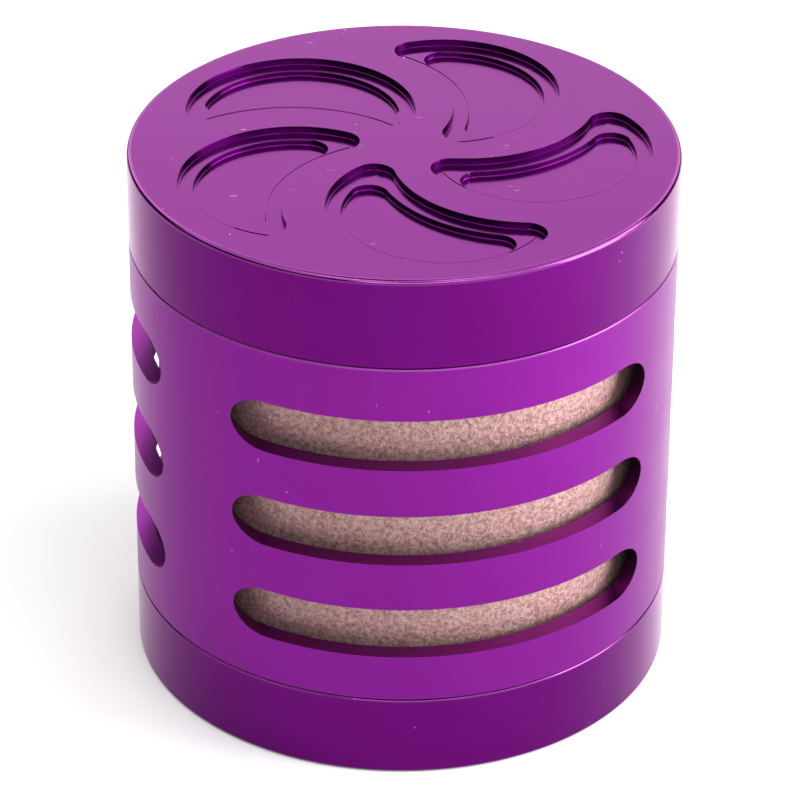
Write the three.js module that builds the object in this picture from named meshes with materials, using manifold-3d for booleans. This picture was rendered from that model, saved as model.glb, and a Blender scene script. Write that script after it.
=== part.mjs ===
// A windowed herb grinder: a lid and a tooth plate that grind between them, a slotted sleeve round a
// copper-coloured drum that stores what is ground, a fine screen under the drum, and a cup for what falls
// through the screen. Millimetres, +Z up, origin at the centre of the underside, one window facing -Y.
import * as THREE from 'three';
import { mergeVertices } from 'three/addons/utils/BufferGeometryUtils.js';
import Module from 'manifold-3d';

const wasm = await Module();
wasm.setup();

// Driving dimensions.
const OUTER_R = 31.5; // 63 mm across
const CUP_H = 10;
const SLEEVE_H = 43.5;
const LID_H = 11;
const SEAM = 0.1; // gap left at each seam between turned parts
const EDGE = 0.25; // chamfer on the outer edges at the seams
const TURNED_STEPS = 48; // facets round the large parts
const SMALL_STEPS = 24; // facets round magnets and caps
const REST_GAP = 0.05; // left between pieces that rest on each other
const LEAD_IN = 0.3; // chamfer that guides one part into the next

const WALL = 2.1; // sleeve wall
const BORE_R = OUTER_R - WALL;
const SLEEVE_Z = CUP_H;
const LID_Z = SLEEVE_Z + SLEEVE_H; // bottom of the lid's skirt
const TOP_Z = LID_Z + LID_H;

// Windows: three round the sleeve, each three slots high, milled straight in.
const WINDOWS = 3;
const SLOTS = 3;
const SLOT_LENGTH = 47.3;
const SLOT_H = 6.36;
const SLOT_PITCH = 12.36;
const MIDDLE_SLOT_Z = 31.4;
const SLOT_END_STEPS = 6;

// Threads are plain cylinders at their pitch radius.
const CUP_THREAD_R = 28.8;
const SPIGOT_R = 28.5;
const SPIGOT_H = 3.8;
const PLATE_THREAD_R = 29.1;

// The cup: a well with a rounded corner, and the spigot's seat above it.
const CUP_FLOOR_Z = 2;
const CUP_SEAT_Z = 5.6;
const CUP_WELL_R = 27.5;
const CUP_FILLET = 2.6;
const CUP_FOOT_EDGE = 0.4;

// O-rings and their grooves.
const RING_SECTION_R = 0.36;
const RING_SECTION_STEPS = 6;
const CUP_RING = { r: 28.36, z: 9.55, grooveR: 27.95, grooveZ: 9.1 };
const PLATE_RING = { r: 28.92, z: 51.65, grooveR: 28.5, grooveZ: 51.2, grooveTopZ: 52.1 };

// Screen and its seat in the spigot.
const SCREEN_LIP_R = 25.6;
const SCREEN_SEAT_R = 27.2;
const SCREEN_LIP_Z = 9.4;
const MESH_R = 26.6;
const MESH_Z = 9;
const MESH_H = 0.3;
const FRAME = { innerR: 25.8, outerR: 27, z: 8.2, height: 0.7 };
const SNAP = { innerR: 26.3, outerR: 27.5, z: 7.2, height: 0.7, steps: 48 };
const SNAP_HALF_GAP = THREE.MathUtils.degToRad(8);
const SNAP_GROOVE = { r: 27.6, z: 7.1, topZ: 8 };

const DRUM_R = 28.4;
const DRUM_INNER_R = 26.4;
const SHELF_Z = 12;
const GASKET_H = 0.4;
const GASKET_R = 29.2;

// Grinding chamber.
const PLATE_Z = 47.5;
const FLOOR_Z = 50.5;
const RIM_TOP_Z = 61;
const RIM_INNER_R = 27.6;
const ROOF_Z = 62;
const BOSS_R = 5.2;
const MAGNET_R = 3.5;
const MAGNET_H = 2.5;
const CAP_H = 0.5;
const POCKET_SLACK = 0.2;
const CAP_GAP = 0.1; // between a magnet and its cap
const POCKET_R = MAGNET_R + POCKET_SLACK;
const PLATE_BOSS_Z = 56.1;
const LID_BOSS_Z = 56.5;

// Teeth stand on circles that never share a radius, so the lid turns freely.
const TOOTH_RADIAL = 3.5;
const TOOTH_ALONG = 4.4;
const TOOTH_GAP = 0.5; // tip to the opposite face
const TOOTH_ROOT = 0.5; // how far a tooth is sunk in the body it stands on
const LID_TEETH = [
  { radius: 8, count: 4 },
  { radius: 16.5, count: 8 },
  { radius: 25, count: 12 },
];
const PLATE_TEETH = [
  { radius: 12.25, count: 6 },
  { radius: 20.75, count: 10 },
];
const DROP_HOLES = [
  { radius: 8.2, count: 5, holeR: 1.8 },
  { radius: 16.5, count: 10, holeR: 2.2 },
  { radius: 24.2, count: 16, holeR: 2.1 },
];
const HOLE_STEPS = 8;
const GLIDE = { innerR: 27.9, outerR: 29.3, height: 0.8 };
const SCRAPER_SIZE = { reach: 9, cornerR: 2.2, height: 1 };

// Five crescents milled in the lid in two steps. Each is the inside of one circle, outside of a second.
const CRESCENTS = 5;
const CRESCENT_TURN = THREE.MathUtils.degToRad(132.1); // direction of the first bulge's centre
const BULGE = { x: 14.9, y: 0, r: 13.25 }; // in a frame whose X axis is that direction
const HOLLOW = { x: 6.6, y: 12.6, r: 15.5 };
const CUTTER_R = 2.4; // rounds the crescent's tips
const STEP_W = 1.75; // ledge between the two steps
const STEP_DEPTHS = [0.85, 1.5];
const LID_SKIRT_R = 29.7; // inside of the lid's skirt
const LID_BRIM = 0.35; // chamfer round the lid's top
const ARC_STEPS = 12;
const TIP_STEPS = 3;

const PURPLE = { color: 0x8b2a9a, metalness: 1, roughness: 0.35 };
const BRIGHT_PURPLE = { color: 0x9a33a8, metalness: 1, roughness: 0.4 };
const COPPER = { color: 0xb98a80, metalness: 0.9, roughness: 0.6 };
const STEEL = { color: 0xb8babd, metalness: 1, roughness: 0.35 };
const MAGNET = { color: 0xa9abb0, metalness: 1, roughness: 0.25 };
const NYLON = { color: 0xe9e6df, metalness: 0, roughness: 0.5 };
const RUBBER = { color: 0x1b1b1d, metalness: 0, roughness: 0.7 };
const SILICONE = { color: 0x2a2a2c, metalness: 0, roughness: 0.6 };
const SCRAPER = { color: 0xd9dadb, metalness: 1, roughness: 0.3 };

// --- Solids and geometries ---

function solidOf(geometry) {
  const bare = geometry.clone();
  bare.deleteAttribute('normal');
  bare.deleteAttribute('uv');
  const merged = mergeVertices(bare, 1e-4);
  return new wasm.Manifold(new wasm.Mesh({
    numProp: 3,
    vertProperties: new Float32Array(merged.attributes.position.array),
    triVerts: new Uint32Array(merged.index.array),
  }));
}

function geometryOf(solid) {
  const mesh = solid.getMesh();
  const geometry = new THREE.BufferGeometry();
  geometry.setAttribute('position', new THREE.BufferAttribute(mesh.vertProperties, 3));
  geometry.setIndex(new THREE.BufferAttribute(mesh.triVerts, 1));
  geometry.computeVertexNormals();
  return geometry;
}

// A turned body from a profile of [radius, height], drawn up the outside and down the inside.
function turned(profile, steps = TURNED_STEPS) {
  const points = profile.map(([r, z]) => new THREE.Vector2(r, z));
  const startsOnAxis = profile[0][0] === 0;
  if (!startsOnAxis) points.push(points[0].clone());
  return new THREE.LatheGeometry(points, steps).rotateX(Math.PI / 2);
}

function ring(innerR, outerR, z, height, steps = TURNED_STEPS) {
  return turned([[innerR, z], [outerR, z], [outerR, z + height], [innerR, z + height]], steps);
}

function disc(radius, z, height, steps = SMALL_STEPS) {
  return turned([[0, z], [radius, z], [radius, z + height], [0, z + height]], steps);
}

// An O-ring of round section.
function roundRing(radius, z, sectionR) {
  return new THREE.TorusGeometry(radius, sectionR, RING_SECTION_STEPS, TURNED_STEPS).translate(0, 0, z);
}

function prism(points, z, height) {
  const shape = new THREE.Shape(points);
  return new THREE.ExtrudeGeometry(shape, { depth: height, bevelEnabled: false }).translate(0, 0, z);
}

function arc(centre, radius, from, to, steps) {
  const points = [];
  for (let i = 0; i <= steps; i++) {
    const angle = from + ((to - from) * i) / steps;
    points.push(new THREE.Vector2(
      centre.x + radius * Math.cos(angle),
      centre.y + radius * Math.sin(angle),
    ));
  }
  return points;
}

function onCircle(count, visit, phase = 0) {
  for (let i = 0; i < count; i++) visit(phase + (2 * Math.PI * i) / count);
}

// --- Cup, scraper and seals ---

function cupGeometry() {
  const top = CUP_H - SEAM;
  const corner = { x: CUP_WELL_R - CUP_FILLET, y: CUP_FLOOR_Z + CUP_FILLET };
  return turned([
    [0, 0], [OUTER_R - CUP_FOOT_EDGE, 0], [OUTER_R, CUP_FOOT_EDGE],
    [OUTER_R, top - EDGE], [OUTER_R - EDGE, top],
    [CUP_THREAD_R + LEAD_IN, top], [CUP_THREAD_R, top - LEAD_IN], [CUP_THREAD_R, CUP_SEAT_Z],
    [CUP_WELL_R, CUP_SEAT_Z],
    ...arc(corner, CUP_FILLET, 0, -Math.PI / 2, 5).map((point) => [point.x, point.y]),
    [0, CUP_FLOOR_Z],
  ]);
}

// A flat three-cornered blade that lies on the cup's floor.
function scraperGeometry() {
  const { reach, cornerR, height } = SCRAPER_SIZE;
  const points = [];
  for (let i = 0; i < 3; i++) {
    const middle = (2 * Math.PI * i) / 3;
    const corner = { x: reach * Math.cos(middle), y: reach * Math.sin(middle) };
    points.push(...arc(corner, cornerR, middle - Math.PI / 3, middle + Math.PI / 3, 4));
  }
  return prism(points, CUP_FLOOR_Z + REST_GAP, height);
}

// --- Sleeve, drum and screen ---

function slotPoints() {
  const endR = SLOT_H / 2;
  const endX = SLOT_LENGTH / 2 - endR;
  return [
    ...arc({ x: endX, y: 0 }, endR, -Math.PI / 2, Math.PI / 2, SLOT_END_STEPS),
    ...arc({ x: -endX, y: 0 }, endR, Math.PI / 2, (3 * Math.PI) / 2, SLOT_END_STEPS),
  ];
}

function sleeveGeometry() {
  const spigotZ = SLEEVE_Z - SPIGOT_H;
  const { grooveR, grooveZ } = CUP_RING;
  const solid = solidOf(turned([
    [SPIGOT_R, spigotZ], [SPIGOT_R, grooveZ], [grooveR, grooveZ], [grooveR, SLEEVE_Z],
    [OUTER_R - EDGE, SLEEVE_Z], [OUTER_R, SLEEVE_Z + EDGE],
    [OUTER_R, LID_Z - EDGE], [OUTER_R - EDGE, LID_Z],
    [BORE_R, LID_Z], [BORE_R, SHELF_Z], [SCREEN_LIP_R, SHELF_Z], [SCREEN_LIP_R, SCREEN_LIP_Z],
    [SCREEN_SEAT_R, SCREEN_LIP_Z], [SCREEN_SEAT_R, SNAP_GROOVE.topZ], [SNAP_GROOVE.r, SNAP_GROOVE.topZ],
    [SNAP_GROOVE.r, SNAP_GROOVE.z], [SCREEN_SEAT_R, SNAP_GROOVE.z], [SCREEN_SEAT_R, spigotZ],
  ]));
  const nearY = 10; // the cut starts inside the bore and ends outside the wall
  const farY = 40;
  const cutter = prism(slotPoints(), nearY, farY - nearY).rotateX(Math.PI / 2);
  const cutters = [];
  for (let row = 0; row < SLOTS; row++) {
    const z = MIDDLE_SLOT_Z + (row - 1) * SLOT_PITCH;
    onCircle(WINDOWS, (angle) => {
      cutters.push(solidOf(cutter.clone().translate(0, 0, z).rotateZ(angle)));
    });
  }
  return geometryOf(cutters.reduce((left, slot) => left.subtract(slot), solid));
}

const lowerGasketZ = SHELF_Z + REST_GAP;
const upperGasketZ = PLATE_Z - 0.15 - GASKET_H;
const drumZ = lowerGasketZ + GASKET_H + REST_GAP;
const drumTopZ = upperGasketZ - REST_GAP;

// An open ring with a gap, so that it can be squeezed into its groove.
function snapRingGeometry() {
  const centre = { x: 0, y: 0 };
  const farSide = 2 * Math.PI - SNAP_HALF_GAP;
  const outside = arc(centre, SNAP.outerR, SNAP_HALF_GAP, farSide, SNAP.steps);
  const inside = arc(centre, SNAP.innerR, farSide, SNAP_HALF_GAP, SNAP.steps);
  return prism([...outside, ...inside], SNAP.z, SNAP.height);
}

// --- Tooth plate and lid ---

function toothPoints(radius) {
  const radial = TOOTH_RADIAL / 2;
  const along = TOOTH_ALONG / 2;
  return [
    new THREE.Vector2(radius - radial, 0),
    new THREE.Vector2(radius, -along),
    new THREE.Vector2(radius + radial, 0),
    new THREE.Vector2(radius, along),
  ];
}

// Adds rings of diamond teeth that run from one height to another.
function withTeeth(body, rings, fromZ, toZ) {
  let solid = body;
  for (const { radius, count } of rings) {
    const tooth = prism(toothPoints(radius), fromZ, toZ - fromZ);
    onCircle(count, (angle) => {
      solid = solid.add(solidOf(tooth.clone().rotateZ(angle)));
    }, Math.PI / count);
  }
  return solid;
}

function plateGeometry() {
  const { grooveR, grooveZ, grooveTopZ } = PLATE_RING;
  const pocketZ = PLATE_BOSS_Z - CAP_H - MAGNET_H - POCKET_SLACK;
  let solid = solidOf(turned([
    [0, PLATE_Z], [PLATE_THREAD_R - LEAD_IN, PLATE_Z], [PLATE_THREAD_R, PLATE_Z + LEAD_IN],
    [PLATE_THREAD_R, grooveZ], [grooveR, grooveZ], [grooveR, grooveTopZ], [PLATE_THREAD_R, grooveTopZ],
    [PLATE_THREAD_R, RIM_TOP_Z - LEAD_IN], [PLATE_THREAD_R - LEAD_IN, RIM_TOP_Z],
    [RIM_INNER_R, RIM_TOP_Z], [RIM_INNER_R, FLOOR_Z], [BOSS_R, FLOOR_Z], [BOSS_R, PLATE_BOSS_Z],
    [POCKET_R, PLATE_BOSS_Z], [POCKET_R, pocketZ], [0, pocketZ],
  ]));
  solid = withTeeth(solid, PLATE_TEETH, FLOOR_Z - TOOTH_ROOT, ROOF_Z - TOOTH_GAP);
  for (const { radius, count, holeR } of DROP_HOLES) {
    const hole = disc(holeR, PLATE_Z - 1, FLOOR_Z - PLATE_Z + 2, HOLE_STEPS).translate(radius, 0, 0);
    onCircle(count, (angle) => {
      solid = solid.subtract(solidOf(hole.clone().rotateZ(angle)));
    });
  }
  return geometryOf(solid);
}

// The crescent's outline, drawn inward by an offset.
function crescentPoints(offset) {
  const bulge = new THREE.Vector2(BULGE.x, BULGE.y);
  const hollow = new THREE.Vector2(HOLLOW.x, HOLLOW.y);
  const tipR = CUTTER_R;
  const bulgeR = BULGE.r - offset;
  const hollowR = HOLLOW.r + offset;
  // A tip's circle touches the bulge's from inside and the hollow's from outside.
  const toHollow = hollow.clone().sub(bulge);
  const apart = toHollow.length();
  const near = bulgeR - tipR;
  const far = hollowR + tipR;
  const along = (near * near - far * far + apart * apart) / (2 * apart);
  const across = Math.sqrt(near * near - along * along);
  const u = toHollow.clone().normalize();
  const v = new THREE.Vector2(-u.y, u.x);
  const base = bulge.clone().addScaledVector(u, along);
  const tips = [-across, across].map((side) => base.clone().addScaledVector(v, side));
  const angleFrom = (centre, point) => Math.atan2(point.y - centre.y, point.x - centre.x);
  const sweep = (centre, radius, fromPoint, toPoint, turn, steps) => {
    const from = angleFrom(centre, fromPoint);
    let to = angleFrom(centre, toPoint);
    while (turn > 0 && to < from) to += 2 * Math.PI;
    while (turn < 0 && to > from) to -= 2 * Math.PI;
    return arc(centre, radius, from, to, steps);
  };
  const [first, last] = tips;
  const out = (tip) => tip.clone().sub(bulge).setLength(bulgeR).add(bulge);
  const into = (tip) => tip.clone().sub(hollow).setLength(hollowR).add(hollow);
  return [
    ...sweep(bulge, bulgeR, out(last), out(first), 1, ARC_STEPS),
    ...sweep(first, tipR, out(first), into(first), 1, TIP_STEPS).slice(1),
    ...sweep(hollow, hollowR, into(first), into(last), -1, ARC_STEPS).slice(1),
    ...sweep(last, tipR, into(last), out(last), 1, TIP_STEPS).slice(1, -1),
  ];
}

function lidGeometry() {
  const pocketZ = LID_BOSS_Z + CAP_H + MAGNET_H + POCKET_SLACK;
  const skirtZ = LID_Z + SEAM;
  let solid = solidOf(turned([
    [0, pocketZ], [POCKET_R, pocketZ], [POCKET_R, LID_BOSS_Z], [BOSS_R, LID_BOSS_Z], [BOSS_R, ROOF_Z],
    [LID_SKIRT_R, ROOF_Z], [LID_SKIRT_R, skirtZ], [OUTER_R - EDGE, skirtZ], [OUTER_R, skirtZ + EDGE],
    [OUTER_R, TOP_Z - LID_BRIM], [OUTER_R - LID_BRIM, TOP_Z], [0, TOP_Z],
  ]));
  solid = withTeeth(solid, LID_TEETH, FLOOR_Z + TOOTH_GAP, ROOF_Z + TOOTH_ROOT);
  STEP_DEPTHS.forEach((depth, step) => {
    const pocket = prism(crescentPoints(step * STEP_W), TOP_Z - depth, depth + 1);
    onCircle(CRESCENTS, (angle) => {
      solid = solid.subtract(solidOf(pocket.clone().rotateZ(angle)));
    }, CRESCENT_TURN);
  });
  return geometryOf(solid);
}

// --- Assembly ---

const grinder = new THREE.Group();

function add(name, geometry, finish) {
  const mesh = new THREE.Mesh(geometry, new THREE.MeshStandardMaterial(finish));
  mesh.name = name;
  grinder.add(mesh);
}

add('bottom_cup', cupGeometry(), PURPLE);
add('scraper', scraperGeometry(), SCRAPER);
add('cup_seal_ring', roundRing(CUP_RING.r, CUP_RING.z, RING_SECTION_R), RUBBER);
add('windowed_sleeve', sleeveGeometry(), BRIGHT_PURPLE);
add('drum_lower_gasket', ring(DRUM_INNER_R, GASKET_R, lowerGasketZ, GASKET_H), SILICONE);
add('inner_drum', ring(DRUM_INNER_R, DRUM_R, drumZ, drumTopZ - drumZ), COPPER);
add('drum_upper_gasket', ring(DRUM_INNER_R, GASKET_R, upperGasketZ, GASKET_H), SILICONE);
add('screen_mesh', disc(MESH_R, MESH_Z, MESH_H, TURNED_STEPS), STEEL);
add('screen_frame', ring(FRAME.innerR, FRAME.outerR, FRAME.z, FRAME.height), STEEL);
add('screen_snap_ring', snapRingGeometry(), STEEL);
add('plate_seal_ring', roundRing(PLATE_RING.r, PLATE_RING.z, RING_SECTION_R), RUBBER);
add('tooth_plate', plateGeometry(), PURPLE);
add('plate_magnet', disc(MAGNET_R, PLATE_BOSS_Z - CAP_H - MAGNET_H - CAP_GAP, MAGNET_H), MAGNET);
add('plate_magnet_cap', disc(MAGNET_R, PLATE_BOSS_Z - CAP_H, CAP_H), NYLON);
add('glide_ring', ring(GLIDE.innerR, GLIDE.outerR, RIM_TOP_Z + 2 * REST_GAP, GLIDE.height), NYLON);
add('lid', lidGeometry(), PURPLE);
add('lid_magnet', disc(MAGNET_R, LID_BOSS_Z + CAP_H + CAP_GAP, MAGNET_H), MAGNET);
add('lid_magnet_cap', disc(MAGNET_R, LID_BOSS_Z, CAP_H), NYLON);

export default grinder;
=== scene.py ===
# Herb grinder with a windowed sleeve. Sizes are in millimetres, heights from the table.
import math
import bmesh
import bpy
from mathutils import Matrix, Vector


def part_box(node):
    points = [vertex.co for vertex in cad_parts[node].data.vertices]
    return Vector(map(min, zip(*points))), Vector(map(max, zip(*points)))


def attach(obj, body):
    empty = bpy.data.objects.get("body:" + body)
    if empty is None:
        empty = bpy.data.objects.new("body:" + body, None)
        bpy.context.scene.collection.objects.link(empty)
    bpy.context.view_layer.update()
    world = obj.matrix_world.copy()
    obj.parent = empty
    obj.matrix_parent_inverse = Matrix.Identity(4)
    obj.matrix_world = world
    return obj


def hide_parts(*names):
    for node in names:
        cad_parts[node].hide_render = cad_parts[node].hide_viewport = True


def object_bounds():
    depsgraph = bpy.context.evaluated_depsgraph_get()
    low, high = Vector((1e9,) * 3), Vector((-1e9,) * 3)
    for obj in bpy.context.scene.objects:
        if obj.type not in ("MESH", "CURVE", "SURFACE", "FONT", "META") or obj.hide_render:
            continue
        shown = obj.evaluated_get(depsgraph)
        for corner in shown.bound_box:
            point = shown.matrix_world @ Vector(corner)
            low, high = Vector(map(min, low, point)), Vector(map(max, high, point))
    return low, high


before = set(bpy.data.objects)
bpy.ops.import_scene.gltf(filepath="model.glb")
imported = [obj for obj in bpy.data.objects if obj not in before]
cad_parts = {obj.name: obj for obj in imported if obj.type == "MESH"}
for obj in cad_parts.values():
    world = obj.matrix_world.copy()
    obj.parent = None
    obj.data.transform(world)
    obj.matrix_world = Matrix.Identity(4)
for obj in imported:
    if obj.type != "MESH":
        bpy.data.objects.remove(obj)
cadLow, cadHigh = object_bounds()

mm = 0.001
roundSteps = 360  # facets round the large turned parts
outerR = cadHigh.x / mm
topZ = cadHigh.z / mm
lowerSeamZ = 10  # between cup and sleeve
upperSeamZ = 53.5  # between sleeve and lid
seamGap = 0.08
seamEdge = 0.2  # rounding of the outer edges at the seams


def heights(node):
    low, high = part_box(node)
    return low.z / mm, high.z / mm


# Working habits: selecting, turning, cutting

def deselect():
    if bpy.context.object and bpy.context.object.mode != "OBJECT":
        bpy.ops.object.mode_set(mode="OBJECT")
    bpy.ops.object.select_all(action="DESELECT")


def activate(piece):
    deselect()
    piece.select_set(True)
    bpy.context.view_layer.objects.active = piece


def openEdit(piece, kind="EDGE"):
    activate(piece)
    bpy.ops.object.mode_set(mode="EDIT")
    bpy.ops.mesh.select_mode(type=kind)
    bpy.ops.mesh.select_all(action="DESELECT")
    return bmesh.from_edit_mesh(piece.data)


def closeEdit():
    bpy.ops.object.mode_set(mode="OBJECT")


def applyPlace(piece):
    activate(piece)
    bpy.ops.object.transform_apply(location=True, rotation=True, scale=True)


def extrudeTo(radius, height, fromRadius, fromHeight):
    bpy.ops.mesh.extrude_region_move(TRANSFORM_OT_translate={"value": (0, 0, (height - fromHeight) * mm)})
    if radius != fromRadius:
        grow = radius / fromRadius
        bpy.ops.transform.resize(value=(grow, grow, 1))


def turnUp(name, profile, steps=roundSteps):
    # A circle is extruded and scaled from one [radius, height] to the next, as a lathe tool travels.
    solid = profile[0][0] == 0
    path = profile[1:-1] if solid else profile
    startR, startZ = path[0]
    deselect()
    fill = "NGON" if solid else "NOTHING"
    bpy.ops.mesh.primitive_circle_add(vertices=steps, radius=startR * mm, fill_type=fill,
                                      location=(0, 0, startZ * mm))
    piece = bpy.context.object
    piece.name = name
    piece.data.name = name
    applyPlace(piece)
    openEdit(piece)
    bpy.ops.mesh.select_all(action="SELECT")
    for (fromR, fromZ), (toR, toZ) in zip(path, path[1:]):
        extrudeTo(toR, toZ, fromR, fromZ)
    if not solid:
        shape = bmesh.from_edit_mesh(piece.data)
        shape.verts.ensure_lookup_table()
        first = set(shape.verts[:steps])
        for edge in shape.edges:
            if edge.verts[0] in first and edge.verts[1] in first:
                edge.select = True
        bmesh.update_edit_mesh(piece.data)
        bpy.ops.mesh.bridge_edge_loops()
    bpy.ops.mesh.select_all(action="SELECT")
    bpy.ops.mesh.normals_make_consistent(inside=False)
    closeEdit()
    return piece


def tubeProfile(innerR, ringR, low, high):
    return [[ringR, low], [ringR, high], [innerR, high], [innerR, low]]


def breakEdges(piece, width, segments, test, sharpness=30):
    # Bevels each sharp edge whose middle passes the test, given in mm.
    shape = openEdit(piece)
    found = 0
    for edge in shape.edges:
        if len(edge.link_faces) == 2 and edge.calc_face_angle() > math.radians(sharpness):
            middle = (edge.verts[0].co + edge.verts[1].co) / 2 / mm
            if test(math.hypot(middle.x, middle.y), middle.z):
                edge.select = True
                found += 1
    bmesh.update_edit_mesh(piece.data)
    if found:
        bpy.ops.mesh.bevel(offset=width * mm, segments=segments, affect="EDGES", clamp_overlap=True)
    closeEdit()


def at(radius, height):
    # A test for breakEdges: the ring of edges at one radius and height.
    return lambda r, z: abs(r - radius) < 0.1 and abs(z - height) < 0.1


def everywhere(r, z):
    return True


def applyAll(piece):
    activate(piece)
    for modifier in list(piece.modifiers):
        bpy.ops.object.modifier_apply(modifier=modifier.name)


def carve(piece, tool, operation="DIFFERENCE"):
    modifier = piece.modifiers.new("carve", "BOOLEAN")
    modifier.operation = operation
    modifier.object = tool
    modifier.solver = "EXACT"
    applyAll(piece)
    bpy.data.objects.remove(tool)


def copyTurned(source, name, angle, rise=0):
    twin = source.copy()
    twin.data = source.data.copy()
    twin.name = name
    bpy.context.scene.collection.objects.link(twin)
    twin.data.transform(Matrix.Translation((0, 0, rise * mm)) @ Matrix.Rotation(angle, 4, "Z"))
    return twin


def joinAll(pieces):
    activate(pieces[0])
    for piece in pieces:
        piece.select_set(True)
    bpy.ops.object.join()
    return bpy.context.object


def ringOf(source, name, count, phase=0):
    # Copies a piece evenly round the axis and joins the copies.
    twins = [copyTurned(source, name, phase + 2 * math.pi * turn / count) for turn in range(count)]
    bpy.data.objects.remove(source)
    return joinAll(twins)


def unite(piece, tool):
    carve(piece, tool, "UNION")


def shiftOut(piece, distance):
    piece.data.transform(Matrix.Translation((distance * mm, 0, 0)))
    return piece


thread = {
    "pitch": 1.5,
    "halfHeight": 0.6,
    "stepsPerTurn": 90,
}


def cutThread(piece, radius, lowZ, turns, reach):
    # A right-handed ridge, half sunk in the wall: a small diamond swept up a helix.
    deselect()
    bpy.ops.mesh.primitive_circle_add(vertices=4, radius=mm, fill_type="NOTHING",
                                      location=(radius * mm, 0, lowZ * mm), rotation=(math.pi / 2, 0, 0))
    ridge = bpy.context.object
    ridge.scale = (reach, thread["halfHeight"], 1)
    applyPlace(ridge)
    sweep = ridge.modifiers.new("sweep", "SCREW")
    sweep.axis = "Z"
    sweep.angle = 2 * math.pi * turns
    sweep.screw_offset = thread["pitch"] * turns * mm
    sweep.steps = sweep.render_steps = round(thread["stepsPerTurn"] * turns)
    sweep.use_merge_vertices = False
    applyAll(ridge)
    openEdit(ridge)
    bpy.ops.mesh.select_non_manifold()
    bpy.ops.mesh.fill_holes(sides=0)
    bpy.ops.mesh.select_all(action="SELECT")
    bpy.ops.mesh.normals_make_consistent(inside=False)
    closeEdit()
    unite(piece, ridge)


teeth = {
    "radial": 3.5,
    "along": 4.4,
    "lid": [[8, 4], [16.5, 8], [25, 12]],  # radius of each ring and its count
    "plate": [[12.25, 6], [20.75, 10]],
    "edge": 0.22,
    "root": 0.3,  # how far a tooth starts inside the floor or the roof
    "tipGap": 0.5,  # between a tip and the opposite face
}


def growTeeth(piece, rings, lowZ, highZ, tipUp):
    # Diamond teeth with broken edges, modelled once for each ring and copied round it.
    for radius, count in rings:
        deselect()
        bpy.ops.mesh.primitive_cylinder_add(vertices=4, radius=mm / 2, depth=(highZ - lowZ) * mm,
                                            location=(radius * mm, 0, (lowZ + highZ) / 2 * mm))
        tooth = bpy.context.object
        tooth.scale = (teeth["radial"], teeth["along"], 1)
        applyPlace(tooth)
        tip = highZ if tipUp else lowZ
        breakEdges(tooth, teeth["edge"], 2, lambda r, z: abs(z - tip) < 0.1 or lowZ + 1 < z < highZ - 1)
        unite(piece, ringOf(tooth, "teeth", count, math.pi / count))


def cleanUp(piece):
    # Removes the slivers that cuts leave behind.
    openEdit(piece)
    bpy.ops.mesh.select_all(action="SELECT")
    bpy.ops.mesh.dissolve_degenerate(threshold=0.002 * mm)
    closeEdit()


def finishPiece(piece, name, body, material, replaces):
    cleanUp(piece)
    piece.name = name
    piece.data.name = name
    piece.data.materials.clear()
    piece.data.materials.append(material)
    activate(piece)
    bpy.ops.object.shade_smooth_by_angle(angle=math.radians(24))
    evenNormals = piece.modifiers.new("evenNormals", "WEIGHTED_NORMAL")
    evenNormals.mode = "FACE_AREA"
    evenNormals.weight = 100
    evenNormals.keep_sharp = True
    applyAll(piece)
    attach(piece, body)
    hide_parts(*replaces)
    return piece


# Finishes

def newFinish(name, **sockets):
    finish = bpy.data.materials.new(name)
    finish.use_nodes = True
    shader = finish.node_tree.nodes["Principled BSDF"]
    for socket, value in sockets.items():
        shader.inputs[socket.replace("_", " ")].default_value = value
    return finish, finish.node_tree, shader


def addNode(tree, kind, inputs=(), **settings):
    node = tree.nodes.new(kind)
    for key, value in settings.items():
        setattr(node, key, value)
    for key, value in dict(inputs).items():
        if isinstance(value, bpy.types.NodeSocket):
            tree.links.new(value, node.inputs[key])
        else:
            node.inputs[key].default_value = value
    return node


def noise(tree, place, scale, detail=2, roughness=0.5):
    inputs = {"Vector": place, "Scale": scale, "Detail": detail, "Roughness": roughness}
    return addNode(tree, "ShaderNodeTexNoise", inputs).outputs["Fac"]


def spread(tree, value, low, high, toLow, toHigh):
    inputs = {"Value": value, "From Min": low, "From Max": high, "To Min": toLow, "To Max": toHigh}
    return addNode(tree, "ShaderNodeMapRange", inputs).outputs["Result"]


def blendColours(tree, factor, first, second):
    # A colour mix has its factor at socket 0, and its two colours at 6 and 7.
    return addNode(tree, "ShaderNodeMix", {0: factor, 6: first, 7: second}, data_type="RGBA").outputs[2]


def addBump(tree, height, strength, distance, under=()):
    inputs = {"Height": height, "Strength": strength, "Distance": distance}
    inputs.update(under)
    return addNode(tree, "ShaderNodeBump", inputs).outputs["Normal"]


anodised = {
    # The dye, and the same where it took deeper.
    "gloss": [(0.113, 0.0045, 0.133, 1), (0.098, 0.0035, 0.116, 1)],
    "satin": [(0.18, 0.0125, 0.213, 1), (0.155, 0.0096, 0.186, 1)],
    "edgeTint": (1, 0.82, 0.96, 1),  # colour of the metal seen at a low angle
    "nick": (0.62, 0.34, 0.62, 1),
    "bare": (0.5, 0.14, 0.5, 1),  # painted highlight on the rim and seam edges, partly where handling has worn them
    "patchScale": 90,
    "lineScale": 5000,  # turning lines across the height
    "lineBump": 0.05,
    "grainScale": 9000,
    "grainBump": 0.08,
    "milledDulling": 0.15,  # how much rougher a milled wall is
    "milledReach": 30,  # the recesses and hollows lie inside this radius
    "wearHighlightScale": 130,
    # Cell scale and dot size, then the scale and level of the noise that lets a few through.
    "nicks": [[420, 0.03, 140, 0.66], [900, 0.05, 260, 0.68]],
    "scratchTurn": 20,
    "scratchLevel": 0.78,
}


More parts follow.
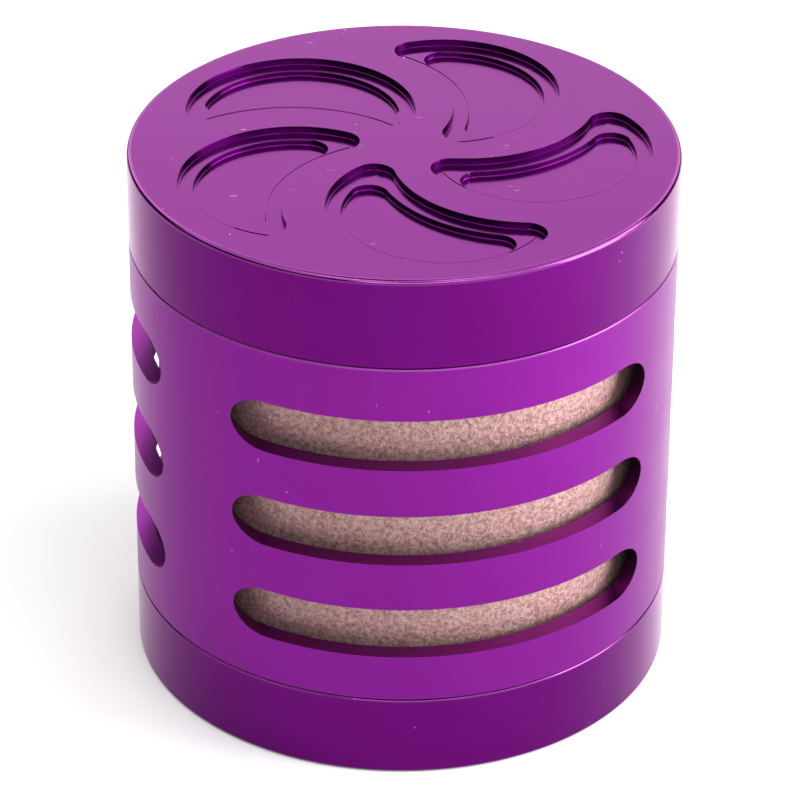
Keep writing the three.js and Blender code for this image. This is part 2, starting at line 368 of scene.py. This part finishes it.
def speckle(tree, place, cellScale, size, maskScale, rarity):
    # Small round marks: one in each cell, shown only where a slow noise is high.
    cells = addNode(tree, "ShaderNodeTexVoronoi", {"Vector": place, "Scale": cellScale}, feature="F1")
    dots = spread(tree, cells.outputs["Distance"], size, size * 1.6, 1, 0)
    shown = spread(tree, noise(tree, place, maskScale, 1), rarity, rarity + 0.02, 0, 1)
    return addNode(tree, "ShaderNodeMath", {0: dots, 1: shown}, operation="MULTIPLY").outputs[0]


def scratches(tree, place, turn, rarity):
    # Thin marks that lie one way: a noise stretched long, kept only at its peaks.
    stretch = {"Vector": place, "Rotation": (0, 0, math.radians(turn)), "Scale": (420, 7000, 420)}
    laid = addNode(tree, "ShaderNodeMapping", stretch)
    lines = noise(tree, laid.outputs["Vector"], 1, 1)
    kept = spread(tree, lines, rarity, rarity + 0.03, 0, 1)
    shown = spread(tree, noise(tree, place, 70 + turn, 1), 0.56, 0.6, 0, 1)
    return addNode(tree, "ShaderNodeMath", {0: kept, 1: shown}, operation="MULTIPLY").outputs[0]


def strongest(tree, *marks):
    result = marks[0]
    for mark in marks[1:]:
        result = addNode(tree, "ShaderNodeMath", {0: result, 1: mark}, operation="MAXIMUM").outputs[0]
    return result


def axisDistance(tree, place):
    flat = addNode(tree, "ShaderNodeMapping", {"Vector": place, "Scale": (1, 1, 0)}).outputs["Vector"]
    return addNode(tree, "ShaderNodeVectorMath", {0: flat}, operation="LENGTH").outputs["Value"]


def edgeWearAndHighlight(tree, place, height, reach, strength):
    # Edge wear and a painted highlight on a turned edge: strongest on the outer rim at one height, and
    # patchy round it.
    radius = axisDistance(tree, place)
    level = addNode(tree, "ShaderNodeSeparateXYZ", {"Vector": place}).outputs["Z"]
    spot = addNode(tree, "ShaderNodeCombineXYZ", {"X": radius, "Z": level}).outputs["Vector"]
    edgeSpot = (outerR * mm, 0, height * mm)
    away = addNode(tree, "ShaderNodeVectorMath", {0: spot, 1: edgeSpot}, operation="DISTANCE")
    near = spread(tree, away.outputs["Value"], reach * mm / 2, reach * mm, strength, 0)
    patchy = spread(tree, noise(tree, place, anodised["wearHighlightScale"], 3), 0.3, 0.7, 0.55, 1)
    return addNode(tree, "ShaderNodeMath", {0: near, 1: patchy}, operation="MULTIPLY").outputs[0]


def milledSides(tree, place, facing):
    # Upright walls inside the rim, which a cutter leaves duller than the turned faces.
    reach = anodised["milledReach"]
    inside = spread(tree, axisDistance(tree, place), reach * mm, (reach + 0.3) * mm, 1, 0)
    slope = addNode(tree, "ShaderNodeSeparateXYZ", {"Vector": facing}).outputs["Z"]
    upright = spread(tree, slope, 0.05, 0.2, 1, 0)
    return addNode(tree, "ShaderNodeMath", {0: inside, 1: upright}, operation="MULTIPLY").outputs[0]


def anodisedFinish(name, dyes, roughness, grain, wearAndHighlightEdges):
    # Dyed aluminium with turning lines, a fine grain, a few nicks and scratches through the dye, and edges
    # lightened by wear and a painted highlight.
    finish, tree, shader = newFinish(name, Metallic=1, Specular_Tint=anodised["edgeTint"])
    spots = addNode(tree, "ShaderNodeTexCoord").outputs
    place = spots["Object"]
    patches = noise(tree, place, anodised["patchScale"], 4, 0.6)
    stretch = {"Vector": place, "Scale": (40, 40, anodised["lineScale"])}
    streaks = noise(tree, addNode(tree, "ShaderNodeMapping", stretch).outputs["Vector"], 1, 3)
    fine = noise(tree, place, anodised["grainScale"], 2)
    colour = blendColours(tree, patches, dyes[1], dyes[0])
    nicks = [speckle(tree, place, *nick) for nick in anodised["nicks"]]
    lines = scratches(tree, place, anodised["scratchTurn"], anodised["scratchLevel"])
    marks = strongest(tree, *nicks, lines)
    # A lighter colour on the rim and seam edges: painted highlight, partly edge wear.
    wearAndHighlight = strongest(tree, *[edgeWearAndHighlight(tree, place, *edge) for edge in wearAndHighlightEdges])
    wornAndHighlighted = blendColours(tree, wearAndHighlight, colour, anodised["bare"])
    marked = blendColours(tree, marks, wornAndHighlighted, anodised["nick"])
    tree.links.new(marked, shader.inputs["Base Color"])
    rough = spread(tree, patches, 0.3, 0.7, roughness - 0.03, roughness + 0.04)
    milled = milledSides(tree, place, spots["Normal"])
    extra = {0: milled, 1: anodised["milledDulling"], 2: rough}
    dulled = addNode(tree, "ShaderNodeMath", extra, operation="MULTIPLY_ADD").outputs[0]
    tree.links.new(dulled, shader.inputs["Roughness"])
    turned = addBump(tree, streaks, anodised["lineBump"] * grain, 0.0001)
    grained = addBump(tree, fine, anodised["grainBump"] * grain, 0.0001, {"Normal": turned})
    tree.links.new(grained, shader.inputs["Normal"])
    return finish


sanded = {
    "pale": (0.5, 0.33, 0.3, 1),
    "deep": (0.25, 0.125, 0.112, 1),
    "grainScale": 4600,
    "bump": 0.6,
}


def sandedCopperFinish():
    # A blasted metal: fine sharp grains that glint, darker between them.
    finish, tree, shader = newFinish("sandedCopper", Metallic=0.55, Roughness=0.5)
    place = addNode(tree, "ShaderNodeTexCoord").outputs["Object"]
    sand = noise(tree, place, sanded["grainScale"], 2, 0.6)
    clumps = noise(tree, place, 0.4 * sanded["grainScale"], 1)
    mixed = addNode(tree, "ShaderNodeMath", {0: sand, 1: clumps}, operation="ADD").outputs[0]
    tone = spread(tree, mixed, 0.75, 1.25, 0, 1)
    tree.links.new(blendColours(tree, tone, sanded["deep"], sanded["pale"]), shader.inputs["Base Color"])
    tree.links.new(addBump(tree, mixed, sanded["bump"], 0.00012), shader.inputs["Normal"])
    return finish


def simpleFinish(name, light, dark, metallic, roughness, scale):
    finish, tree, shader = newFinish(name, Metallic=metallic)
    place = addNode(tree, "ShaderNodeTexCoord").outputs["Object"]
    grain = noise(tree, place, scale, 3)
    tree.links.new(blendColours(tree, grain, dark, light), shader.inputs["Base Color"])
    rough = spread(tree, grain, 0.3, 0.7, roughness - 0.05, roughness + 0.08)
    tree.links.new(rough, shader.inputs["Roughness"])
    tree.links.new(addBump(tree, grain, 0.4, 0.00003), shader.inputs["Normal"])
    return finish


# Roughness, strength of the grain, and the edges with wear and a painted highlight: height, reach and
# strength.
lidFinish = anodisedFinish("purpleGloss", anodised["gloss"], 0.15, 0.5, [
    [topZ, 0.62, 0.4], [lowerSeamZ - seamGap, 0.3, 0.3],
])
sleeveFinish = anodisedFinish("purpleSatin", anodised["satin"], 0.3, 1.2, [
    [upperSeamZ, 0.3, 0.4], [lowerSeamZ, 0.2, 0.2],
])
# Light and dark colour, metal or not, roughness and grain scale.
copperFinish = sandedCopperFinish()
steelFinish = simpleFinish("brushedSteel", (0.72, 0.73, 0.75, 1), (0.5, 0.51, 0.53, 1), 1, 0.32, 3000)
magnetFinish = simpleFinish("nickelPlate", (0.74, 0.73, 0.7, 1), (0.6, 0.6, 0.58, 1), 1, 0.2, 1500)
nylonFinish = simpleFinish("whiteNylon", (0.86, 0.84, 0.79, 1), (0.78, 0.76, 0.7, 1), 0, 0.45, 900)
rubberFinish = simpleFinish("blackRubber", (0.03, 0.03, 0.032, 1), (0.015, 0.015, 0.017, 1), 0, 0.6, 1200)
print("finishes made")

# Cup

cup = {
    "footEdge": 0.4,
    "wellFillet": 2.4,
    "threadR": 28.8,
    "wellR": 27.5,
    "floorZ": 2,
    "stepZ": 5.6,
    "threadZ": 6.25,
}


def buildCup():
    rim = lowerSeamZ - seamGap
    piece = turnUp("bottomCup", [
        [0, 0], [outerR, 0], [outerR, rim], [cup["threadR"], rim], [cup["threadR"], cup["stepZ"]],
        [cup["wellR"], cup["stepZ"]], [cup["wellR"], cup["floorZ"]], [0, cup["floorZ"]],
    ])
    breakEdges(piece, cup["wellFillet"], 8, at(cup["wellR"], cup["floorZ"]))
    breakEdges(piece, cup["footEdge"], 5, lambda r, z: r > outerR - 0.1 and z < 0.1)
    breakEdges(piece, seamEdge, 4, lambda r, z: r > outerR - 0.1 and z > cup["stepZ"])
    cutThread(piece, cup["threadR"], cup["threadZ"], turns=1.6, reach=0.35)
    return finishPiece(piece, "cup_body", "cup", lidFinish, ["bottom_cup"])


# Sleeve

sleeve = {
    "boreR": 29.4,
    "shelfZ": 12,
    "shelfR": 25.6,
    "windows": 3,
    "slotLength": 47.3,
    "slotHeight": 6.36,
    "slotPitch": 12.36,
    "middleSlotZ": 31.4,
    "cutStart": 8,  # from the axis
    "cutLength": 32,
    "spigotR": 28.15,
    "spigotZ": 6.2,
    "grooveR": 27.95,  # groove for the O-ring
    "grooveZ": 9.1,
    "screenR": 27.2,
    "lipZ": 9.4,
    "snapR": 27.6,
    "snapZ": [7.1, 8],
    "spigotThreadZ": 7,
    "boreThreadZ": 48.9,
}


def slotCutter():
    # A disc pulled apart sideways into a round-ended slot, then pushed through the wall.
    endR = sleeve["slotHeight"] / 2
    pull = sleeve["slotLength"] / 2 - endR
    deselect()
    start = (0, -sleeve["cutStart"] * mm, sleeve["middleSlotZ"] * mm)
    bpy.ops.mesh.primitive_circle_add(vertices=96, radius=endR * mm, fill_type="NGON",
                                      location=start, rotation=(math.pi / 2, 0, 0))
    cutter = bpy.context.object
    applyPlace(cutter)
    for side in (-1, 1):
        shape = openEdit(cutter, "VERT")
        for vert in shape.verts:
            vert.select = vert.co.x * side > 1e-6
        shape.select_flush(True)
        bmesh.update_edit_mesh(cutter.data)
        bpy.ops.transform.translate(value=(side * pull * mm, 0, 0))
        closeEdit()
    openEdit(cutter)
    bpy.ops.mesh.select_all(action="SELECT")
    bpy.ops.mesh.extrude_region_move(TRANSFORM_OT_translate={"value": (0, -sleeve["cutLength"] * mm, 0)})
    bpy.ops.mesh.select_all(action="SELECT")
    bpy.ops.mesh.normals_make_consistent(inside=False)
    closeEdit()
    return cutter


def buildSleeve():
    snapLow, snapHigh = sleeve["snapZ"]
    piece = turnUp("sleeve", [
        [sleeve["spigotR"], sleeve["spigotZ"]], [sleeve["spigotR"], sleeve["grooveZ"]],
        [sleeve["grooveR"], sleeve["grooveZ"]], [sleeve["grooveR"], lowerSeamZ], [outerR, lowerSeamZ],
        [outerR, upperSeamZ], [sleeve["boreR"], upperSeamZ], [sleeve["boreR"], sleeve["shelfZ"]],
        [sleeve["shelfR"], sleeve["shelfZ"]], [sleeve["shelfR"], sleeve["lipZ"]],
        [sleeve["screenR"], sleeve["lipZ"]], [sleeve["screenR"], snapHigh], [sleeve["snapR"], snapHigh],
        [sleeve["snapR"], snapLow], [sleeve["screenR"], snapLow], [sleeve["screenR"], sleeve["spigotZ"]],
    ])
    breakEdges(piece, seamEdge, 4, lambda r, z: r > outerR - 0.1)
    slot = slotCutter()
    cutters = []
    for row in (-1, 0, 1):
        for window in range(sleeve["windows"]):
            turn = 2 * math.pi * window / sleeve["windows"]
            cutters.append(copyTurned(slot, "slotTool", turn, row * sleeve["slotPitch"]))
    bpy.data.objects.remove(slot)
    carve(piece, joinAll(cutters))
    cutThread(piece, sleeve["spigotR"], sleeve["spigotThreadZ"], turns=1.05, reach=0.45)
    cutThread(piece, sleeve["boreR"], sleeve["boreThreadZ"], turns=1.2, reach=0.4)
    return finishPiece(piece, "sleeve_body", "sleeve", sleeveFinish, ["windowed_sleeve"])


# Drum and its gaskets

drum = {"outerR": 28.4, "innerR": 26.4, "edge": 0.2}


def buildDrum():
    piece = turnUp("drum", tubeProfile(drum["innerR"], drum["outerR"], *heights("inner_drum")))
    breakEdges(piece, drum["edge"], 2, everywhere)
    return finishPiece(piece, "copper_drum", "sleeve", copperFinish, ["inner_drum"])


# Tooth plate

plate = {
    "bottom": 47.5,
    "floorZ": 50.5,
    "top": 61,
    "threadR": 28.8,
    "rimR": 29.1,
    "chamberR": 27.6,
    "grooveR": 28.5,
    "grooveZ": [51.2, 52.1],
    "threadZ": 48.15,
    "edge": 0.25,
    "chamberFillet": 0.8,
    "bossR": 5.2,
    "bossZ": 56.1,
    "pocketR": 3.7,
    "pocketZ": 52.9,
    "holes": [[8.2, 5, 1.8], [16.5, 10, 2.2], [24.2, 16, 2.1]],  # ring radius, count, hole radius
    "countersink": 0.35,
}


def drillHoles(piece):
    below, floorZ, sink = plate["bottom"] - 1, plate["floorZ"], plate["countersink"]
    for ringR, count, holeR in plate["holes"]:
        drill = turnUp("drill", [
            [0, below], [holeR, below], [holeR, floorZ - sink], [holeR + 2 * sink, floorZ + sink],
            [0, floorZ + sink],
        ], 40)
        carve(piece, ringOf(shiftOut(drill, ringR), "drills", count))


def buildPlate():
    grooveLow, grooveHigh = plate["grooveZ"]
    piece = turnUp("plate", [
        [0, plate["bottom"]], [plate["threadR"], plate["bottom"]], [plate["threadR"], grooveLow],
        [plate["grooveR"], grooveLow], [plate["grooveR"], grooveHigh], [plate["rimR"], grooveHigh],
        [plate["rimR"], plate["top"]], [plate["chamberR"], plate["top"]],
        [plate["chamberR"], plate["floorZ"]], [plate["bossR"], plate["floorZ"]],
        [plate["bossR"], plate["bossZ"]], [plate["pocketR"], plate["bossZ"]],
        [plate["pocketR"], plate["pocketZ"]], [0, plate["pocketZ"]],
    ])
    breakEdges(piece, plate["edge"], 2, lambda r, z: z > plate["top"] - 0.1 or z < plate["bottom"] + 0.1)
    breakEdges(piece, plate["chamberFillet"], 5, at(plate["chamberR"], plate["floorZ"]))
    growTeeth(piece, teeth["plate"], plate["floorZ"] - teeth["root"], lid["roofZ"] - teeth["tipGap"], True)
    drillHoles(piece)
    cutThread(piece, plate["threadR"], plate["threadZ"], turns=1.6, reach=0.45)
    return finishPiece(piece, "tooth_plate_body", "plate", sleeveFinish, ["tooth_plate"])


# Lid

lid = {
    "skirtR": 29.7,
    "roofZ": 62,
    "bossR": 5.2,
    "bossZ": 56.5,
    "pocketR": 3.7,
    "pocketZ": 59.7,
    "crescents": 5,
    "turn": math.radians(132.1),  # towards the first crescent's round side
    "bulge": [14.9, 0, 13.25],  # centre and radius, with X towards the round side
    "hollow": [6.6, 12.6, 15.5],
    "tipR": 2.4,
    "innerTipR": 2.2,
    "ledgeWidth": 1.75,
    "ledgeDepth": 0.85,
    "floorDepth": 1.5,
    "leftover": 0.07,  # what the mill leaves standing on the ledge at each tip
    "baseFillet": 0.2,
    "rimBreak": 0.03,
    "brim": 0.48,
}


def drawArc(centre, angle, steps):
    # Draws on from the selected point, round a centre.
    bpy.ops.mesh.spin(steps=steps, dupli=False, angle=angle, axis=(0, 0, -1),
                      center=(centre.x * mm, centre.y * mm, topZ * mm))


def turnBetween(centre, start, end, way):
    # The angle from one point to another round a centre, turning one way.
    endAngle = math.atan2(end.y - centre.y, end.x - centre.x)
    angle = endAngle - math.atan2(start.y - centre.y, start.x - centre.x)
    while angle * way < 0:
        angle += way * 2 * math.pi
    return angle


def crescentTool(offset, depth, tipR, fillet=0):
    # Inside one circle and outside another, its two tips rounded as the mill leaves them.
    bulge, hollow = Vector(lid["bulge"][:2]), Vector(lid["hollow"][:2])
    bulgeR, hollowR = lid["bulge"][2] - offset, lid["hollow"][2] + offset
    apart = (hollow - bulge).length
    along = ((bulgeR - tipR) ** 2 - (hollowR + tipR) ** 2 + apart ** 2) / (2 * apart)
    across = math.sqrt((bulgeR - tipR) ** 2 - along ** 2)
    ahead = (hollow - bulge).normalized()
    aside = Vector((-ahead.y, ahead.x))
    first, last = bulge + along * ahead - across * aside, bulge + along * ahead + across * aside
    onBulge = [bulge + (tip - bulge).normalized() * bulgeR for tip in (first, last)]
    onHollow = [hollow + (tip - hollow).normalized() * hollowR for tip in (first, last)]
    deselect()
    bpy.ops.mesh.primitive_plane_add(size=mm, location=(onBulge[1].x * mm, onBulge[1].y * mm, topZ * mm))
    tool = bpy.context.object
    applyPlace(tool)
    openEdit(tool, "VERT")
    bpy.ops.mesh.select_all(action="SELECT")
    bpy.ops.mesh.merge(type="CENTER")
    drawArc(bulge, turnBetween(bulge, onBulge[1], onBulge[0], 1), 120)
    drawArc(first, turnBetween(first, onBulge[0], onHollow[0], 1), 16)
    drawArc(hollow, turnBetween(hollow, onHollow[0], onHollow[1], -1), 90)
    drawArc(last, turnBetween(last, onHollow[1], onBulge[1], 1), 16)
    bpy.ops.mesh.select_all(action="SELECT")
    bpy.ops.mesh.remove_doubles(threshold=0.01 * mm)
    bpy.ops.mesh.edge_face_add()
    bpy.ops.transform.translate(value=(0, 0, -depth * mm))
    bpy.ops.mesh.extrude_region_move(TRANSFORM_OT_translate={"value": (0, 0, (depth + 2) * mm)})
    bpy.ops.mesh.select_all(action="SELECT")
    bpy.ops.mesh.normals_make_consistent(inside=False)
    closeEdit()
    if fillet:
        breakEdges(tool, fillet, 5, lambda r, z: z < topZ)
    return tool


def crescentRing(tool):
    return ringOf(tool, "crescentTools", lid["crescents"], lid["turn"])


def buildLid():
    low = upperSeamZ + seamGap
    piece = turnUp("lid", [
        [0, lid["pocketZ"]], [lid["pocketR"], lid["pocketZ"]], [lid["pocketR"], lid["bossZ"]],
        [lid["bossR"], lid["bossZ"]], [lid["bossR"], lid["roofZ"]], [lid["skirtR"], lid["roofZ"]],
        [lid["skirtR"], low], [outerR, low], [outerR, topZ], [0, topZ],
    ])
    breakEdges(piece, lid["brim"], 6, lambda r, z: r > outerR - 0.1 and z > topZ - 0.1)
    breakEdges(piece, seamEdge, 4, lambda r, z: r > outerR - 0.1 and z < low + 0.1)
    width, depth, fillet = lid["ledgeWidth"], lid["ledgeDepth"], lid["baseFillet"]
    carve(piece, crescentRing(crescentTool(0, depth - lid["leftover"], lid["tipR"])))
    ledge = crescentTool(0, depth, lid["tipR"], fillet)
    carve(ledge, crescentTool(width, depth + 1, 0.1))
    carve(piece, crescentRing(ledge))
    carve(piece, crescentRing(crescentTool(width, lid["floorDepth"], lid["innerTipR"], fillet)))
    breakEdges(piece, lid["rimBreak"], 2, lambda r, z: r < outerR - 1 and z > topZ - 0.02)
    growTeeth(piece, teeth["lid"], plate["floorZ"] + teeth["tipGap"], lid["roofZ"] + teeth["root"], False)
    return finishPiece(piece, "lid_cap", "lid", lidFinish, ["lid"])


# Rings, magnets and seals

# Each turned small part: inner radius, outer radius, edge rounding, body, slot and finish.
smallParts = {
    "drum_lower_gasket": [26.4, 29.2, 0.12, "sleeve", "black_rubber", rubberFinish],
    "drum_upper_gasket": [26.4, 29.2, 0.12, "sleeve", "black_rubber", rubberFinish],
    "screen_frame": [25.8, 27, 0.12, "sleeve", "steel", steelFinish],
    "glide_ring": [27.9, 29.3, 0.22, "glide", "nylon", nylonFinish],
    "plate_magnet": [0, 3.5, 0.2, "plate", "nickel_plated", magnetFinish],
    "plate_magnet_cap": [0, 3.5, 0.15, "plate", "nylon", nylonFinish],
    "lid_magnet": [0, 3.5, 0.2, "lid", "nickel_plated", magnetFinish],
    "lid_magnet_cap": [0, 3.5, 0.15, "lid", "nylon", nylonFinish],
}
seals = {"mouldLine": 0.03, "squeeze": 0.95}
sealRings = {  # centre radius, section radius and body
    "cup_seal_ring": [28.36, 0.33, "cup_seal"],
    "plate_seal_ring": [28.92, 0.33, "plate_seal"],
}


def buildSmallParts():
    for node, (innerR, ringR, edge, body, slot, finish) in smallParts.items():
        low, high = heights(node)
        if innerR:
            piece = turnUp(node, tubeProfile(innerR, ringR, low, high), 240)
        else:
            piece = turnUp(node, [[0, low], [ringR, low], [ringR, high], [0, high]], 96)
        breakEdges(piece, edge, 3, everywhere)
        finishPiece(piece, node + "_part", body, finish, [node])


def squeezeSeal(piece, middle):
    # A mould line stands proud round the inside and outside, and the ring is pressed a little flat.
    shape = openEdit(piece, "EDGE")
    for edge in shape.edges:
        edge.select = all(abs(vert.co.z / mm - middle) < 0.01 for vert in edge.verts)
    bmesh.update_edit_mesh(piece.data)
    bpy.ops.mesh.bevel(offset=seals["mouldLine"] * mm, segments=2, affect="EDGES", profile=1)
    bpy.ops.mesh.select_all(action="SELECT")
    bpy.ops.transform.resize(value=(1, 1, seals["squeeze"]), center_override=(0, 0, middle * mm))
    closeEdit()


def buildSeals():
    for node, (ringR, sectionR, body) in sealRings.items():
        low, high = heights(node)
        middle = (low + high) / 2
        deselect()
        bpy.ops.mesh.primitive_torus_add(major_radius=ringR * mm, minor_radius=sectionR * mm,
                                         major_segments=240, minor_segments=20,
                                         location=(0, 0, middle * mm))
        piece = bpy.context.object
        applyPlace(piece)
        squeezeSeal(piece, middle)
        finishPiece(piece, node + "_part", body, rubberFinish, [node])


# Screen

screen = {
    "radius": 26.5,
    "pitch": 1.2,
    "wireR": 0.09,
    "sides": 5,
}
snapRing = {"innerR": 26.3, "outerR": 27.5, "gapAngle": math.radians(16), "edge": 0.1}


def weaveWire(z):
    # One wire that goes over and under by its own thickness, drawn along X.
    reach = (math.ceil(screen["radius"] / screen["pitch"]) + 1) * screen["pitch"]
    deselect()
    start = (-reach * mm, 0, (z - screen["wireR"]) * mm)
    bpy.ops.mesh.primitive_circle_add(vertices=screen["sides"], radius=screen["wireR"] * mm,
                                      fill_type="NGON", location=start, rotation=(0, math.pi / 2, 0))
    wire = bpy.context.object
    applyPlace(wire)
    openEdit(wire)
    bpy.ops.mesh.select_all(action="SELECT")
    lift = 2 * screen["wireR"]
    for step in range(round(2 * reach / screen["pitch"])):
        travel = (screen["pitch"] * mm, 0, lift * mm)
        bpy.ops.mesh.extrude_region_move(TRANSFORM_OT_translate={"value": travel})
        lift = -lift
    bpy.ops.mesh.select_all(action="SELECT")
    bpy.ops.mesh.normals_make_consistent(inside=False)
    closeEdit()
    return wire


def trimWire(wire, halfLength):
    openEdit(wire)
    for side in (-1, 1):
        bpy.ops.mesh.select_all(action="SELECT")
        bpy.ops.mesh.bisect(plane_co=(side * halfLength * mm, 0, 0), plane_no=(side, 0, 0), use_fill=True,
                            clear_outer=True)
    closeEdit()


def buildScreen():
    low, high = heights("screen_mesh")
    middle = (low + high) / 2
    wire = weaveWire(middle)
    wires = []
    count = math.floor(screen["radius"] / screen["pitch"])
    for lane in range(-count, count + 1):
        y = lane * screen["pitch"]
        halfLength = math.sqrt(screen["radius"] ** 2 - y ** 2)
        if halfLength < screen["pitch"]:
            continue
        strand = copyTurned(wire, "strand", 0)
        if lane % 2:
            strand.data.transform(Matrix.Translation((screen["pitch"] * mm, 0, 0)))
        trimWire(strand, halfLength)
        strand.data.transform(Matrix.Translation((0, y * mm, 0)))
        wires.append(strand)
        crossing = copyTurned(strand, "strand", math.pi / 2)
        crossing.data.transform(Matrix.Translation((0, 0, -middle * mm)))
        crossing.data.transform(Matrix.Scale(1, 4))
        crossing.data.transform(Matrix.Translation((0, 0, middle * mm)))
        wires.append(crossing)
    bpy.data.objects.remove(wire)
    piece = joinAll(wires)
    return finishPiece(piece, "woven_screen", "sleeve", steelFinish, ["screen_mesh"])


def buildSnapRing():
    low, high = heights("screen_snap_ring")
    piece = turnUp("snapRing", tubeProfile(snapRing["innerR"], snapRing["outerR"], low, high), 180)
    middleR = (snapRing["innerR"] + snapRing["outerR"]) / 2
    gap = 2 * middleR * math.sin(snapRing["gapAngle"] / 2)
    deselect()
    bpy.ops.mesh.primitive_cube_add(size=mm, location=(middleR * mm, 0, (low + high) / 2 * mm))
    notch = bpy.context.object
    notch.scale = (4, gap, 4)
    applyPlace(notch)
    carve(piece, notch)
    breakEdges(piece, snapRing["edge"], 2, everywhere)
    return finishPiece(piece, "snap_ring", "sleeve", steelFinish, ["screen_snap_ring"])


# Scraper

scraper = {"cornerReach": 13.1, "cornerCut": 3.8, "edge": 0.3}


def buildScraper():
    low, high = heights("scraper")
    deselect()
    bpy.ops.mesh.primitive_circle_add(vertices=3, radius=scraper["cornerReach"] * mm, fill_type="NGON",
                                      location=(0, 0, low * mm), rotation=(0, 0, -math.pi / 2))
    piece = bpy.context.object
    applyPlace(piece)
    openEdit(piece, "VERT")
    bpy.ops.mesh.select_all(action="SELECT")
    bpy.ops.mesh.bevel(offset=scraper["cornerCut"] * mm, segments=12, affect="VERTICES")
    bpy.ops.mesh.select_all(action="SELECT")
    bpy.ops.mesh.extrude_region_move(TRANSFORM_OT_translate={"value": (0, 0, (high - low) * mm)})
    bpy.ops.mesh.select_all(action="SELECT")
    bpy.ops.mesh.normals_make_consistent(inside=False)
    closeEdit()
    breakEdges(piece, scraper["edge"], 3, everywhere, 60)
    return finishPiece(piece, "scraper_blade", "scraper", steelFinish, ["scraper"])


buildCup()
print("cup turned")
buildSleeve()
print("sleeve milled")
buildDrum()
print("drum made")
buildPlate()
print("tooth plate cut")
buildLid()
print("lid carved")
buildSmallParts()
buildSeals()
print("rings, magnets and seals made")
buildScreen()
buildSnapRing()
buildScraper()
print("screen, snap ring and scraper made")

# Floor, light and camera

studio = {
    "cameraTurn": math.radians(-11.4),
    "elevation": math.radians(30.814),
    "distance": 515.5,
    "aimZ": 30.93,
    "sideways": -0.276,
    "lens": 197.69,
    "roll": math.radians(0.4266),
    "floorSize": 6,  # this and the next in metres
    "floorDrop": 0.0001,
    "ambience": 0.05,
}


def addFloor():
    deselect()
    bpy.ops.mesh.primitive_plane_add(size=studio["floorSize"], location=(0, 0, -studio["floorDrop"]))
    floor = bpy.context.object
    floor.name = "floor"
    finish, tree, shader = newFinish("paleFloor", Roughness=0.9)
    place = addNode(tree, "ShaderNodeTexCoord").outputs["Object"]
    tone = blendColours(tree, noise(tree, place, 3), (0.9, 0.9, 0.9, 1), (0.93, 0.93, 0.93, 1))
    tree.links.new(tone, shader.inputs["Base Color"])
    floor.data.materials.append(finish)


softboxes = {
    # Place and aim in metres as the camera sees them (X right, Y away), width, height, brightness, colour.
    "backPanel": [(0, 0.9, 0.6), (0, 0, 0.03), 1.4, 0.8, 2.5, (1, 0.98, 0.92)],
    "frontRightBox": [(0.42, -0.5, 0.3), (0, 0, 0.03), 0.4, 0.4, 2, (1, 1, 1)],
    "nearRightBox": [(0.34, -0.04, 0.2), (0.08, -0.02, 0), 0.3, 0.2, 7, (1, 1, 1)],
    "frontBox": [(0.04, -0.75, 0.46), (0, 0, 0.03), 0.6, 0.3, 4, (1, 1, 1)],
    "lowRightBox": [(0.42, -0.1, 0.07), (0, 0, 0.03), 0.2, 0.12, 22, (1, 1, 1)],
    "topLeftBox": [(-0.5, -0.2, 0.7), (-0.5, -0.2, 0), 0.8, 1.2, 1.45, (1, 1, 1)],
    "topRightBox": [(0.5, -0.2, 0.7), (0.5, -0.2, 0), 0.8, 1.2, 1.35, (1, 1, 1)],
    "overheadStrip": [(0, -0.2, 0.75), (0, 0, 0.03), 0.6, 0.1, 5, (1, 0.96, 0.98)],
}


def addSoftbox(name, place, aim, width, height, brightness, colour):
    lamp = bpy.data.lights.new(name, "AREA")
    lamp.shape = "RECTANGLE"
    lamp.size = width
    lamp.size_y = height
    lamp.energy = math.pi * width * height * brightness
    lamp.color = colour
    box = bpy.data.objects.new(name, lamp)
    bpy.context.scene.collection.objects.link(box)
    turn = Matrix.Rotation(studio["cameraTurn"], 3, "Z")
    box.location = turn @ Vector(place)
    box.rotation_euler = (turn @ (Vector(aim) - Vector(place))).to_track_quat("-Z", "Y").to_euler()


def addCamera():
    data = bpy.data.cameras.new("camera")
    camera = bpy.data.objects.new("camera", data)
    bpy.context.scene.collection.objects.link(camera)
    data.lens = studio["lens"]
    data.sensor_width = 36
    data.clip_end = 50
    elevation = studio["elevation"]
    forward = Vector((0, math.cos(elevation), -math.sin(elevation)))
    right = Vector((1, 0, 0))
    up = right.cross(forward)
    spot = Vector((0, 0, studio["aimZ"])) - studio["distance"] * forward + studio["sideways"] * right
    roll = studio["roll"]
    tiltedRight = math.cos(roll) * right + math.sin(roll) * up
    tiltedUp = math.cos(roll) * up - math.sin(roll) * right
    turned = Matrix((tiltedRight, tiltedUp, -forward)).transposed().to_4x4()
    aside = Matrix.Rotation(studio["cameraTurn"], 4, "Z")
    camera.matrix_world = aside @ Matrix.Translation(spot * mm) @ turned
    bpy.context.scene.camera = camera


addFloor()
for name, settings in softboxes.items():
    addSoftbox(name, *settings)
world = bpy.data.worlds.new("studio")
bpy.context.scene.world = world
world.use_nodes = True
background = world.node_tree.nodes["Background"]
background.inputs["Color"].default_value = (1, 1, 1, 1)
background.inputs["Strength"].default_value = studio["ambience"]
bpy.context.scene.view_settings.view_transform = "Standard"
addCamera()
